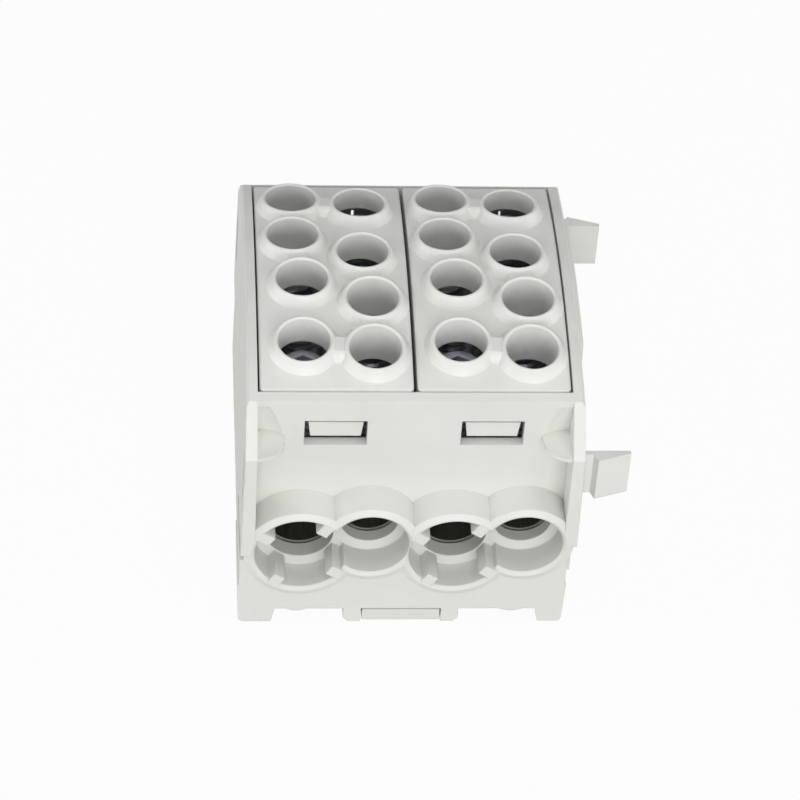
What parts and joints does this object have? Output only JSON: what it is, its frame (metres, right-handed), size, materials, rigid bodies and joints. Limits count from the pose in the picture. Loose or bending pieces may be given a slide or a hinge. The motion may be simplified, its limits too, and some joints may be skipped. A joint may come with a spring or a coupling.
{
  "type": "power distribution block",
  "caption": "Power distribution block for a top-hat rail: two poles with wire entries at both ends, arched covers with screwdriver holes, side barbs and a sliding rail latch.",
  "frame": {"origin": "centre of the face that seats on the rail", "axes": "+X along the rail towards the side with the snap barbs, +Y towards the back entries, +Z away from the rail, up through the arched covers"},
  "size_m": [0.0626, 0.066, 0.0501],
  "materials": {
    "housing_plastic": "moulded, fine satin texture",
    "cover_plastic": "moulded, fine satin texture",
    "latch_plastic": "moulded, fine satin texture",
    "bar_metal": "nickel-plated, satin",
    "screw_steel": "zinc-plated, clear passivated"
  },
  "bodies": {
    "base": {"housing": "housing_plastic", "cover_left": "cover_plastic", "cover_right": "cover_plastic", "terminal_bar_left": "bar_metal", "terminal_bar_right": "bar_metal"},
    "rail_latch": {"rail_latch": "latch_plastic"},
    "screw_left_1": {"clamp_screw_left_1": "screw_steel"},
    "screw_left_2": {"clamp_screw_left_2": "screw_steel"},
    "screw_left_3": {"clamp_screw_left_3": "screw_steel"},
    "screw_left_4": {"clamp_screw_left_4": "screw_steel"},
    "screw_left_5": {"clamp_screw_left_5": "screw_steel"},
    "screw_left_6": {"clamp_screw_left_6": "screw_steel"},
    "screw_left_7": {"clamp_screw_left_7": "screw_steel"},
    "screw_left_8": {"clamp_screw_left_8": "screw_steel"},
    "screw_right_1": {"clamp_screw_right_1": "screw_steel"},
    "screw_right_2": {"clamp_screw_right_2": "screw_steel"},
    "screw_right_3": {"clamp_screw_right_3": "screw_steel"},
    "screw_right_4": {"clamp_screw_right_4": "screw_steel"},
    "screw_right_5": {"clamp_screw_right_5": "screw_steel"},
    "screw_right_6": {"clamp_screw_right_6": "screw_steel"},
    "screw_right_7": {"clamp_screw_right_7": "screw_steel"},
    "screw_right_8": {"clamp_screw_right_8": "screw_steel"}
  },
  "joints": [
    {"name": "latch_slide", "type": "slide", "parent": "base", "child": "rail_latch", "axis": [0, -1, 0], "range_m": [0, 0.003]},
    {"name": "screw_left_1_down", "type": "slide", "parent": "base", "child": "screw_left_1", "axis": [0, 0, -1], "range_m": [0, 0.008]},
    {"name": "screw_left_2_down", "type": "slide", "parent": "base", "child": "screw_left_2", "axis": [0, 0, -1], "range_m": [0, 0.008]},
    {"name": "screw_left_3_down", "type": "slide", "parent": "base", "child": "screw_left_3", "axis": [0, 0, -1], "range_m": [0, 0.007]},
    {"name": "screw_left_4_down", "type": "slide", "parent": "base", "child": "screw_left_4", "axis": [0, 0, -1], "range_m": [0, 0.007]},
    {"name": "screw_left_5_down", "type": "slide", "parent": "base", "child": "screw_left_5", "axis": [0, 0, -1], "range_m": [0, 0.008]},
    {"name": "screw_left_6_down", "type": "slide", "parent": "base", "child": "screw_left_6", "axis": [0, 0, -1], "range_m": [0, 0.008]},
    {"name": "screw_left_7_down", "type": "slide", "parent": "base", "child": "screw_left_7", "axis": [0, 0, -1], "range_m": [0, 0.007]},
    {"name": "screw_left_8_down", "type": "slide", "parent": "base", "child": "screw_left_8", "axis": [0, 0, -1], "range_m": [0, 0.007]},
    {"name": "screw_right_1_down", "type": "slide", "parent": "base", "child": "screw_right_1", "axis": [0, 0, -1], "range_m": [0, 0.008]},
    {"name": "screw_right_2_down", "type": "slide", "parent": "base", "child": "screw_right_2", "axis": [0, 0, -1], "range_m": [0, 0.008]},
    {"name": "screw_right_3_down", "type": "slide", "parent": "base", "child": "screw_right_3", "axis": [0, 0, -1], "range_m": [0, 0.007]},
    {"name": "screw_right_4_down", "type": "slide", "parent": "base", "child": "screw_right_4", "axis": [0, 0, -1], "range_m": [0, 0.007]},
    {"name": "screw_right_5_down", "type": "slide", "parent": "base", "child": "screw_right_5", "axis": [0, 0, -1], "range_m": [0, 0.008]},
    {"name": "screw_right_6_down", "type": "slide", "parent": "base", "child": "screw_right_6", "axis": [0, 0, -1], "range_m": [0, 0.008]},
    {"name": "screw_right_7_down", "type": "slide", "parent": "base", "child": "screw_right_7", "axis": [0, 0, -1], "range_m": [0, 0.007]},
    {"name": "screw_right_8_down", "type": "slide", "parent": "base", "child": "screw_right_8", "axis": [0, 0, -1], "range_m": [0, 0.007]}
  ]
}
